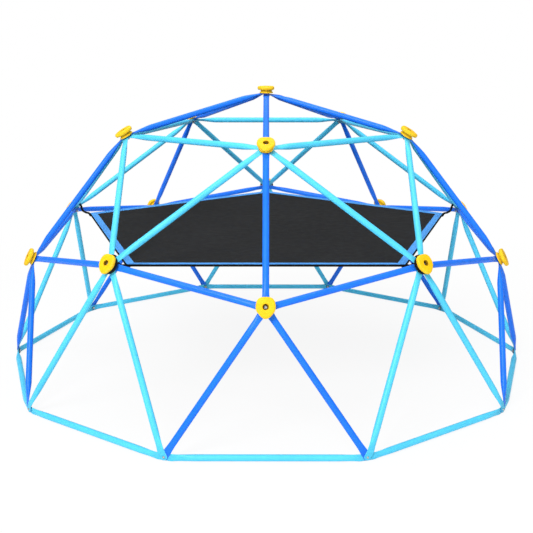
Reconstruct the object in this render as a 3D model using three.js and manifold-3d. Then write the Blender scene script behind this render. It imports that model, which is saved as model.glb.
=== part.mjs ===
// A dome climber: sixty-five steel tubes bolted into a half sphere of triangles,
// plastic caps on the hubs above the ground, and a five-sided mat slung inside.
// Millimetres. +Z is up, the origin is on the ground under the top hub, and the front is -Y.

import * as THREE from "three";
import { mergeVertices } from "three/addons/utils/BufferGeometryUtils.js";
import Module from "manifold-3d";

const wasm = await Module();
wasm.setup();

// Dome. A hub's place is given by its distance from the upright axis and its height
// over the base hubs, both as shares of the base radius.
const BASE_RADIUS = 1525;
const TOP_HEIGHT = 1.02;
const UPPER_HUB = { radius: 0.53, height: 0.88 };
const FIVE_WAY_HUB = { radius: 0.883, height: 0.4505 };
const SIX_WAY_HUB = { radius: 0.836, height: 0.528 };
const SECTORS = 5;

// Tubes. Each end is pressed flat into a tab with a round tip and one bolt hole.
const TUBE_DIAMETER = 32;
const TUBE_SIDES = 8;
const TAB_WIDTH = 37;
const TAB_HALF = TAB_WIDTH / 2;
const TAB_THICKNESS = 2.6;
const TAB_EDGE_SHARE = 0.7; // of the thickness, left upright at the tab's rounded edge
const TAB_CREST_SHARE = 0.9; // of the width, where the tab reaches its full thickness
const TAB_TIP = [
  // corners of a tab's end, as shares of its half width: behind the bolt, and either side of it
  { behind: 0.85, beside: 0.5 },
  { behind: 0.35, beside: 1 },
];
const TAB_FLAT = 36; // from the bolt to the start of the swell
const TUBE_START = 146; // from the bolt to the full round tube
const OVAL_START = 85; // from the bolt to an oval section, already as narrow as the tube
const OVAL_SHARE = 0.55; // of the tube's thickness, reached there
const TAB_PITCH = 3; // from one tab to the next in a hub's stack
const HOLE_RADIUS = 5.2;
const HOLE_LENGTH = 18; // enough to pass through the thickest stack

// Bolts, with a head outside the stack and a nut inside it.
const BOLT_RADIUS = 4;
const BOLT_HEAD_RADIUS = 7.5;
const BOLT_HEAD_HEIGHT = 5.5;
const BOLT_HEAD_TAPER = 0.8; // of the radius, left at the head's top
const NUT_HEIGHT = 6.5;
const BOLT_END = 4; // of thread past the nut
const FASTENER_SIDES = 6;

// Hub caps: a base, a groove and a wide flange with a recess for the bolt. The flange isn't round.
// Waves round its rim draw it out to one soft corner downhill and two lesser ones uphill.
const CAP_BASE_RADIUS = 38;
const CAP_BASE_HEIGHT = 9;
const CAP_NECK_RADIUS = 32;
const CAP_NECK_HEIGHT = 8.5;
const CAP_FLANGE_RADIUS = 48;
const CAP_FLANGE_HEIGHT = 22.5;
const CAP_EDGE = 4; // drop of the flange's rim at its top edge
const CAP_RECESS_RADIUS = 14;
const CAP_RECESS_DEPTH = 20;
const CAP_SIDES = 10;
const TOP_CAP_TURN = 36; // degrees from the front towards the right, where the top cap's soft corner points
const CAP_WAVES = [
  // crests in each wave, and their height as a share of the flange's radius
  { crests: 2, height: 0.05 },
  { crests: 3, height: 0.045 },
  { crests: 5, height: 0.025 },
];

// Mat and the straps that tie its corners to the six-way hubs.
const MAT_HEIGHT = 807;
const MAT_RADIUS = 1175;
const MAT_THICKNESS = 10;
const LOOP_WIDTH = 7.8;
const LOOP_THICKNESS = 14.5; // two turns in the cap's groove
const LOOP_LAP = 5.4; // the outer turn's reach past the groove, over the edge of the cap's base
const STRAP_WIDTH = 10;
const STRAP_THICKNESS = 9;
const STRAP_SLACK = [
  // the strap's tail, by distance above and out of the hub's own level, in its upright plane
  { along: 40, out: 0 },
  { along: 47, out: 0 },
  { along: 51, out: -8 },
  { along: 51, out: -27 },
  { along: 43, out: -42 },
  { along: 28, out: -56 },
  { along: 25, out: -82 },
  { along: 38, out: -111 },
];

const CLEARANCE = 0.4;
const SLIVER = 0.02; // facets thinner than this are merged after tubes are joined
const UP = new THREE.Vector3(0, 0, 1);

const steelBlue = new THREE.MeshStandardMaterial({ color: 0x2a7df8, roughness: 0.35, metalness: 0.1 });
const steelAqua = new THREE.MeshStandardMaterial({ color: 0x63e3fc, roughness: 0.35, metalness: 0.1 });
const yellowPlastic = new THREE.MeshStandardMaterial({ color: 0xffe628, roughness: 0.55, metalness: 0 });
const zincSteel = new THREE.MeshStandardMaterial({ color: 0xb9babd, roughness: 0.35, metalness: 0.9 });
const matFabric = new THREE.MeshStandardMaterial({ color: 0x303030, roughness: 0.9, metalness: 0 });
const blackWebbing = new THREE.MeshStandardMaterial({ color: 0x121212, roughness: 0.85, metalness: 0 });

const radians = THREE.MathUtils.degToRad;

// A hub at an azimuth in degrees, counted from the front towards the right.
function hub({ radius, height }, azimuth) {
  const angle = radians(azimuth);
  const place = new THREE.Vector3(Math.sin(angle) * radius, -Math.cos(angle) * radius, height);
  const normal = place.clone().normalize();
  const position = place.multiplyScalar(BASE_RADIUS);
  position.z += TAB_HALF; // the base tabs stand on their edges
  return { position, normal };
}

const topHub = hub({ radius: 0, height: TOP_HEIGHT }, 0);
const upperHub = (k) => hub(UPPER_HUB, 72 * k);
const middleHub = (k) => hub(k % 2 ? SIX_WAY_HUB : FIVE_WAY_HUB, 36 * k);
const baseHub = (k) => hub({ radius: 1, height: 0 }, 36 * k + 18);

// Where each tab sits in its hub's stack, in pitches from the stack's middle, outwards.
const TOP_STACK = [-2, -1, 0, 1, 2];
const UPPER_STACK = { ring: -1.5, vee: -0.5, crown: 0.5, drop: 1.5 };
const FIVE_WAY_STACK = { ring: -1, legs: 0, drop: 1 };
const SIX_WAY_STACK = { ring: -1.5, legs: -0.5, veeRight: 0.5, veeLeft: 1.5 };
const BASE_STACK = { ring: -1, shortLeg: 0, longLeg: 1 };
const stackHalf = (outermost) => outermost * TAB_PITCH + TAB_THICKNESS / 2;

// A closed surface through rings of points, each ring counter-clockwise seen from the next.
function loft(rings) {
  const count = rings[0].length;
  const last = (rings.length - 1) * count;
  const faces = [];
  for (let ring = 0; ring < last; ring += count) {
    for (let i = 0; i < count; i++) {
      const j = (i + 1) % count;
      faces.push(ring + i, ring + j, ring + count + j, ring + i, ring + count + j, ring + count + i);
    }
  }
  for (let i = 1; i < count - 1; i++) {
    faces.push(0, i + 1, i, last, last + i, last + i + 1);
  }
  return new THREE.BufferGeometry().setFromPoints(rings.flat()).setIndex(faces);
}

// The outline of a flat tab, point for point with the tube's.
function tabProfile(halfWidth) {
  const half = TAB_THICKNESS / 2;
  const quarter = [
    [halfWidth, half * TAB_EDGE_SHARE],
    [halfWidth * TAB_CREST_SHARE, half],
  ];
  const upper = [...quarter, ...quarter.map(([x, y]) => [-x, y]).reverse()];
  return [...upper, ...upper.map(([x, y]) => [-x, -y])];
}

function tubeProfile() {
  const step = (2 * Math.PI) / TUBE_SIDES;
  const radius = TUBE_DIAMETER / 2 / Math.cos(step / 4);
  return Array.from({ length: TUBE_SIDES }, (_, i) => {
    const angle = (i + 0.5) * step;
    return [Math.cos(angle) * radius, Math.sin(angle) * radius];
  });
}

// One tube between two hubs, its tabs square to the hubs' bolts.
function barGeometry(from, fromLevel, to, toLevel) {
  const chord = to.position.clone().sub(from.position).normalize();
  const side = from.normal.clone().cross(chord).normalize();
  const ring = (centre, outward, profile) =>
    profile.map(([x, y]) => centre.clone().addScaledVector(side, x).addScaledVector(outward, y));
  const ends = [
    { hub: from, level: fromLevel, inward: chord },
    { hub: to, level: toLevel, inward: chord.clone().negate() },
  ].map(({ hub: { position, normal }, level, inward }) => {
    const bolt = position.clone().addScaledVector(normal, level * TAB_PITCH);
    const along = inward.clone().projectOnPlane(normal).normalize();
    return { bolt, normal, along, swell: bolt.clone().addScaledVector(along, TAB_FLAT) };
  });
  const axis = ends[1].swell.clone().sub(ends[0].swell).normalize();
  const outward = axis.clone().cross(side).normalize();
  const tabRings = ({ bolt, normal, along, swell }) => [
    ...TAB_TIP.map(({ behind, beside }) => {
      const centre = bolt.clone().addScaledVector(along, -behind * TAB_HALF);
      return ring(centre, normal, tabProfile(beside * TAB_HALF));
    }),
    ring(swell, normal, tabProfile(TAB_HALF)),
  ];
  const round = tubeProfile();
  const oval = round.map(([x, y]) => [x, y * OVAL_SHARE]);
  const tubeRing = ({ swell }, towards, reach, profile) =>
    ring(swell.clone().addScaledVector(axis, towards * (reach - TAB_FLAT)), outward, profile);
  return loft([
    ...tabRings(ends[0]),
    tubeRing(ends[0], 1, OVAL_START, oval),
    tubeRing(ends[0], 1, TUBE_START, round),
    tubeRing(ends[1], -1, TUBE_START, round),
    tubeRing(ends[1], -1, OVAL_START, oval),
    ...tabRings(ends[1]).reverse(),
  ]);
}

// A closed geometry as a solid that can be joined and cut, and a solid as a geometry again.
function solidOf(geometry) {
  const bare = geometry.clone();
  bare.deleteAttribute("normal");
  bare.deleteAttribute("uv");
  const merged = mergeVertices(bare, 1e-4);
  return new wasm.Manifold(
    new wasm.Mesh({
      numProp: 3,
      vertProperties: new Float32Array(merged.attributes.position.array),
      triVerts: new Uint32Array(merged.index.array),
    }),
  );
}

function geometryOf(solid) {
  const mesh = solid.getMesh();
  return new THREE.BufferGeometry()
    .setAttribute("position", new THREE.BufferAttribute(mesh.vertProperties, 3))
    .setIndex(new THREE.BufferAttribute(mesh.triVerts, 1));
}

// The turn that takes +Y to a hub's normal and +Z to the way down the dome.
function hubFrame({ normal }) {
  const across = new THREE.Vector3().crossVectors(UP, normal);
  const turn = radians(TOP_CAP_TURN);
  if (across.lengthSq() < 1e-6) across.set(Math.cos(turn), Math.sin(turn), 0);
  across.normalize();
  return new THREE.Matrix4().makeBasis(across, normal, across.clone().cross(normal));
}

// Tubes that share hubs, joined, with one bolt hole at each hub they reach.
function frameGeometry(bars) {
  const joined = bars.map((bar) => solidOf(barGeometry(...bar))).reduce((a, b) => a.add(b));
  const hole = new THREE.CylinderGeometry(HOLE_RADIUS, HOLE_RADIUS, HOLE_LENGTH, FASTENER_SIDES);
  const hubs = new Map();
  for (const [from, fromLevel, to, toLevel] of bars) {
    hubs.set(from.position.toArray().map(Math.round).join(), from);
    hubs.set(to.position.toArray().map(Math.round).join(), to);
  }
  const cut = [...hubs.values()].reduce((solid, at) => {
    const drilled = hole.clone().applyMatrix4(hubFrame(at));
    return solid.subtract(solidOf(drilled.translate(...at.position.toArray())));
  }, joined);
  return geometryOf(cut.asOriginal().simplify(SLIVER));
}

function lathe(profile, sides) {
  return new THREE.LatheGeometry(profile.map(([radius, height]) => new THREE.Vector2(radius, height)), sides);
}

// The stretch of bolt inside a stack and the nut under it, from the axis outwards.
function boltBelow(half) {
  const nutTop = -half - CLEARANCE;
  const nutBottom = nutTop - NUT_HEIGHT;
  return [
    [0, nutBottom - BOLT_END],
    [BOLT_RADIUS, nutBottom - BOLT_END],
    [BOLT_RADIUS, nutBottom],
    [BOLT_HEAD_RADIUS, nutBottom],
    [BOLT_HEAD_RADIUS, nutTop],
    [BOLT_RADIUS, nutTop],
  ];
}

function baseBoltGeometry() {
  const half = stackHalf(BASE_STACK.longLeg);
  const headBottom = half + CLEARANCE;
  return lathe(
    [
      ...boltBelow(half),
      [BOLT_RADIUS, headBottom],
      [BOLT_HEAD_RADIUS, headBottom],
      [BOLT_HEAD_RADIUS * BOLT_HEAD_TAPER, headBottom + BOLT_HEAD_HEIGHT],
      [0, headBottom + BOLT_HEAD_HEIGHT],
    ],
    FASTENER_SIDES,
  );
}

// A hub cap with its bolt through it, turned about the bolt, its flange then drawn out to its corners.
function capGeometry(outermost) {
  const half = stackHalf(outermost);
  const foot = half + CLEARANCE;
  const neckBottom = foot + CAP_BASE_HEIGHT;
  const neckTop = neckBottom + CAP_NECK_HEIGHT;
  const top = neckTop + CAP_FLANGE_HEIGHT;
  const geometry = lathe(
    [
      ...boltBelow(half),
      [BOLT_RADIUS, foot],
      [CAP_BASE_RADIUS, foot],
      [CAP_BASE_RADIUS, neckBottom],
      [CAP_NECK_RADIUS, neckBottom],
      [CAP_NECK_RADIUS, neckTop],
      [CAP_FLANGE_RADIUS, neckTop + CAP_EDGE],
      [CAP_FLANGE_RADIUS - CAP_EDGE, top],
      [CAP_RECESS_RADIUS, top],
      [CAP_RECESS_RADIUS, top - CAP_RECESS_DEPTH],
      [0, top - CAP_RECESS_DEPTH],
    ],
    CAP_SIDES,
  );
  const points = geometry.attributes.position;
  for (let i = 0; i < points.count; i++) {
    const [x, z] = [points.getX(i), points.getZ(i)];
    if (Math.hypot(x, z) < CAP_FLANGE_RADIUS - CAP_EDGE - CLEARANCE) continue;
    const angle = Math.atan2(x, z);
    const swell = CAP_WAVES.reduce((sum, { crests, height }) => sum + height * Math.cos(crests * angle), 1);
    points.setXYZ(i, x * swell, points.getY(i), z * swell);
  }
  return geometry;
}

// The mat lies flat, its corners towards the six-way hubs.
function matGeometry() {
  const outline = Array.from({ length: SECTORS }, (_, k) => {
    const angle = radians(72 * k - 54);
    return new THREE.Vector2(Math.cos(angle), Math.sin(angle)).multiplyScalar(MAT_RADIUS);
  });
  const plate = new THREE.ExtrudeGeometry(new THREE.Shape(outline), {
    depth: MAT_THICKNESS,
    bevelEnabled: false,
  });
  return plate.translate(0, 0, MAT_HEIGHT - MAT_THICKNESS / 2);
}

// A strap: a loop in the cap's groove, and a tail that passes between two tubes to the mat.
function strapGeometry(at) {
  const foot = stackHalf(SIX_WAY_STACK.veeLeft) + CLEARANCE;
  const middle = foot + CAP_BASE_HEIGHT + CAP_NECK_HEIGHT / 2;
  const inner = CAP_NECK_RADIUS + CLEARANCE;
  const outer = inner + LOOP_THICKNESS;
  const shoulder = CAP_BASE_RADIUS + CLEARANCE;
  const half = LOOP_WIDTH / 2;
  const band = [
    [inner, middle - half],
    [shoulder, middle - half],
    [shoulder, middle - half - LOOP_LAP],
    [outer, middle - half - LOOP_LAP],
    [outer, middle + half],
    [inner, middle + half],
    [inner, middle - half],
  ];
  const loop = solidOf(lathe(band, CAP_SIDES).applyMatrix4(hubFrame(at)));
  const upwards = UP.clone().projectOnPlane(at.normal).normalize();
  const side = at.normal.clone().cross(upwards);
  const path = STRAP_SLACK.map(({ along, out }) =>
    at.normal.clone().multiplyScalar(middle + out).addScaledVector(upwards, along),
  );
  const rings = path.map((point, i) => {
    const before = path[Math.max(i - 1, 0)];
    const after = path[Math.min(i + 1, path.length - 1)];
    const thick = after.clone().sub(before).normalize().cross(side);
    return [
      [1, 1],
      [-1, 1],
      [-1, -1],
      [1, -1],
    ].map(([x, y]) =>
      point
        .clone()
        .addScaledVector(side, (x * STRAP_WIDTH) / 2)
        .addScaledVector(thick, (y * STRAP_THICKNESS) / 2),
    );
  });
  const tail = solidOf(loft(rings));
  return geometryOf(loop.add(tail).asOriginal().simplify(SLIVER)).translate(...at.position.toArray());
}

function mesh(name, geometry, material) {
  const made = new THREE.Mesh(geometry, material);
  made.name = name;
  return made;
}

// A mesh built about a hub's bolt, set on that hub.
function meshOnHub(name, geometry, material, at) {
  const made = mesh(name, geometry, material);
  made.quaternion.setFromRotationMatrix(hubFrame(at));
  made.position.copy(at.position);
  return made;
}

const dome = new THREE.Group();

// The parts that run all the way round.
const ringOf = (count, hubAt, level) =>
  Array.from({ length: count }, (_, k) => [hubAt(k), level(k), hubAt(k + 1), level(k + 1)]);
const middleLevel = (k) => (k % 2 ? SIX_WAY_STACK.ring : FIVE_WAY_STACK.ring);
dome.add(
  mesh("upper_ring", frameGeometry(ringOf(SECTORS, upperHub, () => UPPER_STACK.ring)), steelAqua),
  mesh("middle_ring", frameGeometry(ringOf(2 * SECTORS, middleHub, middleLevel)), steelBlue),
  mesh("base_ring", frameGeometry(ringOf(2 * SECTORS, baseHub, () => BASE_STACK.ring)), steelAqua),
  meshOnHub("hub_cap_top", capGeometry(TOP_STACK.at(-1)), yellowPlastic, topHub),
  mesh("mat", matGeometry(), matFabric),
);
TOP_STACK.forEach((level, k) => {
  const bar = [topHub, level, upperHub(k), UPPER_STACK.crown];
  dome.add(mesh(`crown_bar_${k + 1}`, frameGeometry([bar]), steelBlue));
});

// The rest repeats in five sectors. Each is built at the front and turned into place.
const dropBar = frameGeometry([[upperHub(0), UPPER_STACK.drop, middleHub(0), FIVE_WAY_STACK.drop]]);
const upperVee = frameGeometry([
  [upperHub(0), UPPER_STACK.vee, middleHub(-1), SIX_WAY_STACK.veeLeft],
  [upperHub(0), UPPER_STACK.vee, middleHub(1), SIX_WAY_STACK.veeRight],
]);
const shortLegs = frameGeometry([
  [middleHub(0), FIVE_WAY_STACK.legs, baseHub(-1), BASE_STACK.shortLeg],
  [middleHub(0), FIVE_WAY_STACK.legs, baseHub(0), BASE_STACK.shortLeg],
]);
const longLegs = frameGeometry([
  [middleHub(1), SIX_WAY_STACK.legs, baseHub(0), BASE_STACK.longLeg],
  [middleHub(1), SIX_WAY_STACK.legs, baseHub(1), BASE_STACK.longLeg],
]);
const fiveWayCap = capGeometry(FIVE_WAY_STACK.drop);
const sixWayCap = capGeometry(SIX_WAY_STACK.veeLeft);
const baseBolt = baseBoltGeometry();
const strap = strapGeometry(middleHub(1));

for (let k = 0; k < SECTORS; k++) {
  const sector = new THREE.Group();
  sector.rotation.z = radians(72 * k);
  sector.add(
    mesh(`drop_bar_${k + 1}`, dropBar, steelBlue),
    mesh(`upper_vee_${k + 1}`, upperVee, steelAqua),
    mesh(`short_legs_${k + 1}`, shortLegs, steelBlue),
    mesh(`long_legs_${k + 1}`, longLegs, steelAqua),
    meshOnHub(`hub_cap_upper_${k + 1}`, sixWayCap, yellowPlastic, upperHub(0)),
    meshOnHub(`hub_cap_middle_${2 * k + 1}`, fiveWayCap, yellowPlastic, middleHub(0)),
    meshOnHub(`hub_cap_middle_${2 * k + 2}`, sixWayCap, yellowPlastic, middleHub(1)),
    meshOnHub(`base_bolt_${2 * k + 1}`, baseBolt, zincSteel, baseHub(0)),
    meshOnHub(`base_bolt_${2 * k + 2}`, baseBolt, zincSteel, baseHub(1)),
    mesh(`mat_strap_${k + 1}`, strap, blackWebbing),
  );
  dome.add(sector);
}

export default dome;
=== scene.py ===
import math

import bpy
import numpy as np
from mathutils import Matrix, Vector


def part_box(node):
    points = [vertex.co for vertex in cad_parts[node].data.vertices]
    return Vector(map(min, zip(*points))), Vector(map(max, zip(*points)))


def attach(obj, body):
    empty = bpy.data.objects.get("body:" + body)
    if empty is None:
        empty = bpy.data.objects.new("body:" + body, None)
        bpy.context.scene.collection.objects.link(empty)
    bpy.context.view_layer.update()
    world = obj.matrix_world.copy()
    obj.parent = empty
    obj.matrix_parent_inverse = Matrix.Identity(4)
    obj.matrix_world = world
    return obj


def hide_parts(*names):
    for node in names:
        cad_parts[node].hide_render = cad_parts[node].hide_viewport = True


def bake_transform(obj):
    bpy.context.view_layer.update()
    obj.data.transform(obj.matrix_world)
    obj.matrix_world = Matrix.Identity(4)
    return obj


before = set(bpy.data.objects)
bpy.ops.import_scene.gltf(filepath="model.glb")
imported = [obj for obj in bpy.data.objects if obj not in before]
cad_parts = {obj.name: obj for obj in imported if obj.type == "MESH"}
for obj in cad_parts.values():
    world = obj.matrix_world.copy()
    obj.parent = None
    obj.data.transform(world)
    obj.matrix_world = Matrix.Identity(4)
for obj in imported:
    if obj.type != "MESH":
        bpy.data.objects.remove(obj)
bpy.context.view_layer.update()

MM = 0.001
FRAME, MAT = "dome_frame", "mat"
SECTORS = 5

# Tubes and the tabs pressed at their ends.
TUBE_RADIUS = 16 * MM
TAB_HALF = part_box("base_ring")[1].z / 2
TAB_REACH = 0.85 * TAB_HALF  # from the bolt to the tip
TAB_HALF_THICKNESS = 1.3 * MM
TAB_PITCH = 3 * MM
TAB_FLAT = 36 * MM
WIDTH_START = 85 * MM  # from the bolt to where the tube is no wider than its round part
TUBE_START = 146 * MM
TAB_BEND = 5 * MM  # half the length of the bend between tab and tube
TUBE_POINTS = 40

# Bolts, nuts and washers.
BOLT_RADIUS = 4 * MM
THREAD_PITCH = 1.25 * MM
THREAD_DEPTH = 0.38 * MM
NUT_FLATS = 6.5 * MM
NUT_HEIGHT = 6.5 * MM
BOLT_END = 4 * MM
SEAT = 0.4 * MM
WASHER_RADIUS = 8.2 * MM
WASHER_THICKNESS = 1.5 * MM
BOLT_HEAD_HEIGHT = 5.3 * MM

# Caps.
CAP_NECK_RADIUS = 32 * MM
CAP_FOOT_HEIGHT = 9 * MM
CAP_NECK_MIDDLE = 13.25 * MM
CAP_FLANGE_FROM = 17 * MM
CAP_TOP = 40 * MM
TOP_CAP_TURN = math.radians(36)  # where the top cap's soft corner points, from the front to the right
CAP_WAVES = ((2, 0.05), (3, 0.045), (5, 0.025))  # crests round the flange's rim, share of its radius
CAP_POINTS = 120
RECESS_FLOOR = 20 * MM

CENTRE = np.array([0.0, 0.0, TAB_HALF])
UP = np.array([0.0, 0.0, 1.0])


def unit(v):
    return v / np.linalg.norm(v)


# ---------------------------------------------------------------- materials
def smooth_step(x):
    x = np.clip(x, 0, 1)
    return x * x * (3 - 2 * x)


class Tree:
    """A material's node tree, with short ways to add nodes and wire them."""

    def __init__(self, name):
        self.material = bpy.data.materials.new(name)
        self.material.use_nodes = True
        self.nodes = self.material.node_tree.nodes
        self.links = self.material.node_tree.links
        self.nodes.clear()
        self.coord = self.add("TexCoord").outputs["Object"]

    def add(self, kind, values=None, **settings):
        node = self.nodes.new("ShaderNode" + kind)
        for key, value in settings.items():
            setattr(node, key, value)
        for key, value in (values or {}).items():
            socket = node.inputs[key]
            if isinstance(value, bpy.types.NodeSocket):
                self.links.new(value, socket)
            else:
                socket.default_value = value
        return node

    def noise(self, scale, detail=2.0, rough=0.5, vector=None, distortion=0.0):
        return self.add(
            "TexNoise",
            {
                "Vector": vector or self.coord,
                "Scale": scale,
                "Detail": detail,
                "Roughness": rough,
                "Distortion": distortion,
            },
        ).outputs["Fac"]

    def ramp(self, fac, *stops):
        node = self.add("ValToRGB", {"Fac": fac})
        elements = node.color_ramp.elements
        while len(elements) < len(stops):
            elements.new(0.5)
        for element, (at, colour) in zip(elements, stops):
            element.position = at
            element.color = colour if len(colour) == 4 else (*colour, 1)
        return node.outputs["Color"]

    def span(self, value, low, high, to_low=0.0, to_high=1.0):
        node = self.add(
            "MapRange",
            {"Value": value, "From Min": low, "From Max": high, "To Min": to_low, "To Max": to_high},
        )
        return node.outputs["Result"]

    def math(self, operation, a, b=0.0):
        node = self.add("Math", operation=operation)
        for socket, value in zip(node.inputs, (a, b)):
            if isinstance(value, bpy.types.NodeSocket):
                self.links.new(value, socket)
            else:
                socket.default_value = value
        return node.outputs["Value"]

    def mix(self, fac, a, b, blend_type="MIX"):
        node = self.add("Mix", data_type="RGBA", blend_type=blend_type)
        for index, value in ((0, fac), (6, a), (7, b)):
            socket = node.inputs[index]
            if isinstance(value, bpy.types.NodeSocket):
                self.links.new(value, socket)
            else:
                socket.default_value = value if index == 0 or len(value) == 4 else (*value, 1)
        return node.outputs[2]

    def bump(self, height, strength, distance, normal=None):
        values = {"Height": height, "Strength": strength, "Distance": distance}
        if normal is not None:
            values["Normal"] = normal
        return self.add("Bump", values).outputs["Normal"]

    def attribute(self, name):
        return self.add("Attribute", attribute_name=name).outputs["Fac"]

    def uv(self, x=1.0, y=1.0):
        """The piece's own coordinates in metres, across and along, scaled."""
        source = self.add("UVMap", uv_map="metres").outputs["UV"]
        return self.add("Mapping", {"Vector": source, "Scale": (x, y, 1.0)}).outputs["Vector"]

    def finish(self, **inputs):
        shader = self.add("BsdfPrincipled")
        for key, value in inputs.items():
            socket = shader.inputs[key.replace("_", " ")]
            if isinstance(value, bpy.types.NodeSocket):
                self.links.new(value, socket)
            else:
                socket.default_value = value
        output = self.add("OutputMaterial")
        self.links.new(shader.outputs["BSDF"], output.inputs["Surface"])
        return self.material


def powder_coat(name, colour, deep):
    """Sprayed and baked paint on steel tube, thin and scuffed at the pressed edges."""
    t = Tree(name)
    drift = t.ramp(t.noise(3.2, 3), (0.32, deep), (0.62, colour))
    cloud = t.noise(38, 4, 0.6)
    paint = t.mix(0.35, drift, t.ramp(cloud, (0.35, deep), (0.6, colour)))
    # Darker and rougher towards the tube's ends, from the darkening attribute.
    grime = t.math("MULTIPLY", t.attribute("grime"), t.span(t.noise(90, 4), 0.3, 0.7, 0.25, 1.0))
    paint = t.mix(t.math("MULTIPLY", grime, 0.30), paint, [c * 0.35 for c in deep])
    chips = t.math("MULTIPLY", t.attribute("edge"), t.span(t.noise(240, 5, 0.65), 0.50, 0.62))
    scuffs = t.span(t.noise(30, 6, 0.7, distortion=0.6), 0.70, 0.76, 0.0, 0.25)
    paint = t.mix(scuffs, paint, [min(1, c * 1.25 + 0.05) for c in colour])
    paint = t.mix(chips, paint, (0.42, 0.42, 0.43))
    drawn = t.noise(1.0, 3, vector=t.uv(420, 9))
    fine = t.bump(t.noise(620, 2), 0.06, 0.2 * MM)
    peel = t.bump(t.noise(170, 2), 0.08, 0.45 * MM, fine)
    lines = t.bump(drawn, 0.03, 0.3 * MM, peel)
    normal = t.bump(t.math("SUBTRACT", 1.0, chips), 0.35, 0.25 * MM, lines)
    gloss = t.span(t.noise(14, 4, 0.6), 0.3, 0.7, 0.30, 0.42)
    rough = t.math("ADD", gloss, t.math("MULTIPLY", grime, 0.2))
    return t.finish(
        Base_Color=paint, Roughness=rough, Normal=normal, Specular_IOR_Level=0.21,
        Coat_Weight=0.03, Coat_Roughness=0.25,
    )


def moulded_plastic(name):
    """Bright yellow plastic with a spark-eroded grain."""
    t = Tree(name)
    main, deep, pale = (0.98, 0.585, 0.004), (0.93, 0.49, 0.003), (1.0, 0.66, 0.014)
    body = t.ramp(t.noise(24, 4, 0.6), (0.3, deep), (0.5, main), (0.75, pale))
    speckle = t.ramp(t.noise(720, 3, 0.6), (0.36, [c * 0.86 for c in main]), (0.52, main))
    body = t.mix(0.45, body, speckle)
    worn = t.math("MULTIPLY", t.attribute("edge"), t.span(t.noise(160, 4), 0.46, 0.6))
    body = t.mix(t.math("MULTIPLY", worn, 0.4), body, (1.0, 0.78, 0.12))
    # Painted shade: the caps' recesses and neck grooves are mixed towards near-black brown.
    painted_shade = t.math("MULTIPLY", t.attribute("grime"), t.span(t.noise(120, 4), 0.3, 0.6, 0.4, 1.0))
    body = t.mix(t.math("MULTIPLY", painted_shade, 0.97), body, (0.030, 0.015, 0.004))
    grain = t.bump(t.noise(900, 2), 0.35, 0.35 * MM)
    normal = t.bump(t.noise(330, 3, 0.6), 0.28, 0.6 * MM, grain)
    rough = t.span(t.noise(60, 4), 0.3, 0.7, 0.42, 0.58)
    return t.finish(Base_Color=body, Roughness=rough, Normal=normal, Specular_IOR_Level=0.2,
                    Subsurface_Weight=0.05, Subsurface_Radius=(0.004, 0.002, 0.0005))


def zinc_plate(name, tone):
    """Zinc on steel, faintly cloudy, with turned marks. A tone under one darkens it, as painted shade."""
    t = Tree(name)
    cloud = t.noise(210, 4, 0.6)
    greys = [[c * tone for c in grey] for grey in ((0.36, 0.36, 0.36), (0.52, 0.52, 0.52), (0.58, 0.56, 0.50))]
    colour = t.ramp(cloud, (0.3, greys[0]), (0.55, greys[1]), (0.8, greys[2]))
    stain = t.span(t.noise(520, 4, 0.7), 0.62, 0.7, 0.0, 0.5)
    colour = t.mix(stain, colour, (0.30, 0.27, 0.22))
    normal = t.bump(t.noise(1500, 2), 0.2, 0.08 * MM)
    rough = t.span(cloud, 0.3, 0.7, 0.26, 0.44)
    return t.finish(Base_Color=colour, Metallic=0.92, Roughness=rough, Normal=normal)


def weave(t, pitch_across, pitch_along, vector=None):
    """Height of a plain weave: threads one way over threads the other."""
    source = vector or t.uv(1, 1)
    split = t.add("SeparateXYZ", {"Vector": source})
    waves = []
    for axis, pitch in (("X", pitch_across), ("Y", pitch_along)):
        turns = t.math("MULTIPLY", split.outputs[axis], 2 * math.pi / pitch)
        waves.append(t.math("SINE", turns))
    warp, weft = waves
    over = t.math("MULTIPLY", warp, weft)
    ridges = t.math("MAXIMUM", t.math("ABSOLUTE", warp), t.math("ABSOLUTE", weft))
    return t.math("ADD", t.math("MULTIPLY", over, 0.5), t.math("MULTIPLY", ridges, 0.5))


def mat_cloth(name):
    """Close black woven mesh with a faint sheen, creased where it was folded."""
    t = Tree(name)
    threads = weave(t, 3.2 * MM, 3.2 * MM)
    tone = t.ramp(t.noise(5, 4, 0.6), (0.3, (0.010, 0.010, 0.0105)), (0.7, (0.016, 0.016, 0.0165)))
    tone = t.mix(0.5, tone, t.ramp(threads, (0.1, (0.006, 0.006, 0.006)), (0.8, (0.022, 0.022, 0.0225))))
    dust = t.span(t.noise(17, 6, 0.75), 0.58, 0.78, 0.0, 0.08)
    tone = t.mix(dust, tone, (0.08, 0.078, 0.075))
    slub = t.noise(1.0, 3, vector=t.uv(30, 700))
    tone = t.mix(t.span(slub, 0.6, 0.75, 0.0, 0.2), tone, (0.045, 0.045, 0.046))
    fine = t.bump(threads, 0.5, 0.5 * MM)
    normal = t.bump(t.noise(9, 4, 0.55, distortion=0.4), 0.25, 4 * MM, fine)
    rough = t.span(t.noise(26, 3), 0.3, 0.7, 0.72, 0.86)
    return t.finish(Base_Color=tone, Roughness=rough, Normal=normal, Sheen_Weight=0.015,
                    Sheen_Roughness=0.4, Specular_IOR_Level=0.12)


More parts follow.
